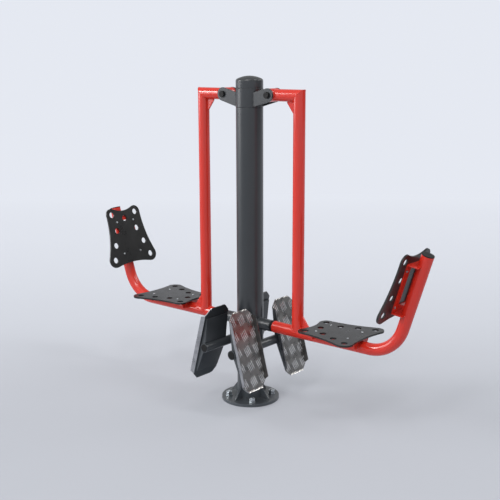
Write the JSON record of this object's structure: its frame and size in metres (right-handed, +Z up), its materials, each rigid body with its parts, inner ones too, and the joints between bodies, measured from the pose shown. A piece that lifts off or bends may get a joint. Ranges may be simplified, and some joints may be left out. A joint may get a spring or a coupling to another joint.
{
  "type": "outdoor leg stretch station",
  "caption": "Outdoor leg press: a flanged post carries pendulum arms hung from pivots near its top, each with a perforated seat and backrest, and tread-plate pedals on bars.",
  "frame": {"origin": "on the ground at the post's axis, the centre of the base flange's underside", "axes": "+X along the swing arms towards the right seat, +Y along the footrest bars away from the picture's viewer, +Z up"},
  "size_m": [2.1466, 0.5384, 1.71],
  "materials": {
    "red_paint": "red powder coat, satin gloss",
    "grey_paint": "anthracite powder coat, satin",
    "zinc_steel": "bright zinc plate",
    "black_board": "solid black board, fine-grained",
    "tread_plate": "raised-bar tread plate, satin",
    "black_plastic": "moulded black plastic",
    "rubber": "moulded black rubber",
    "bearing_steel": "ground steel"
  },
  "bodies": {
    "frame": {"base_flange": "grey_paint", "base_gussets": "grey_paint", "anchor_washers": "zinc_steel", "anchor_nuts": "zinc_steel", "post_tube": "grey_paint", "pivot_head": "grey_paint", "post_cap": "grey_paint", "axle_nuts": "zinc_steel", "axle_caps": "black_plastic", "thrust_washers": "zinc_steel", "stop_stubs": "grey_paint", "stop_buffers": "rubber", "bar_end_plugs": "black_plastic", "right_pivot_ears": "grey_paint", "right_pivot_axle": "zinc_steel", "right_footrest_bar": "grey_paint", "left_pivot_ears": "grey_paint", "left_pivot_axle": "zinc_steel", "left_footrest_bar": "grey_paint", "front_right_pedal_pan": "tread_plate", "front_right_pedal_backing": "grey_paint", "front_left_pedal_pan": "tread_plate", "front_left_pedal_backing": "grey_paint", "back_right_pedal_pan": "tread_plate", "back_right_pedal_backing": "grey_paint", "back_left_pedal_pan": "tread_plate", "back_left_pedal_backing": "grey_paint"},
    "right_arm": {"right_pivot_hub": "red_paint", "right_hub_bearings": "bearing_steel", "right_bearing_spacer": "bearing_steel", "right_top_tube": "red_paint", "right_hanger_tube": "red_paint", "right_seat_tube": "red_paint", "right_bump_plate": "red_paint", "right_back_tube_plug": "black_plastic", "right_top_gusset": "red_paint", "right_seat_gusset": "red_paint", "right_seat_bracket": "red_paint", "right_seat_board": "black_board", "right_seat_bolts": "zinc_steel", "right_back_bracket": "red_paint", "right_back_board": "black_board", "right_back_bolts": "zinc_steel"},
    "left_arm": {"left_pivot_hub": "red_paint", "left_hub_bearings": "bearing_steel", "left_bearing_spacer": "bearing_steel", "left_top_tube": "red_paint", "left_hanger_tube": "red_paint", "left_seat_tube": "red_paint", "left_bump_plate": "red_paint", "left_back_tube_plug": "black_plastic", "left_top_gusset": "red_paint", "left_seat_gusset": "red_paint", "left_seat_bracket": "red_paint", "left_seat_board": "black_board", "left_seat_bolts": "zinc_steel", "left_back_bracket": "red_paint", "left_back_board": "black_board", "left_back_bolts": "zinc_steel"}
  },
  "joints": [
    {"name": "right_arm_swing", "type": "hinge", "parent": "frame", "child": "right_arm", "pos_m": [0.1462, 0, 1.6168], "axis": [0, -1, 0], "range_deg": [0, 27]},
    {"name": "left_arm_swing", "type": "hinge", "parent": "frame", "child": "left_arm", "pos_m": [-0.1462, 0, 1.6168], "axis": [0, 1, 0], "range_deg": [0, 27]}
  ]
}
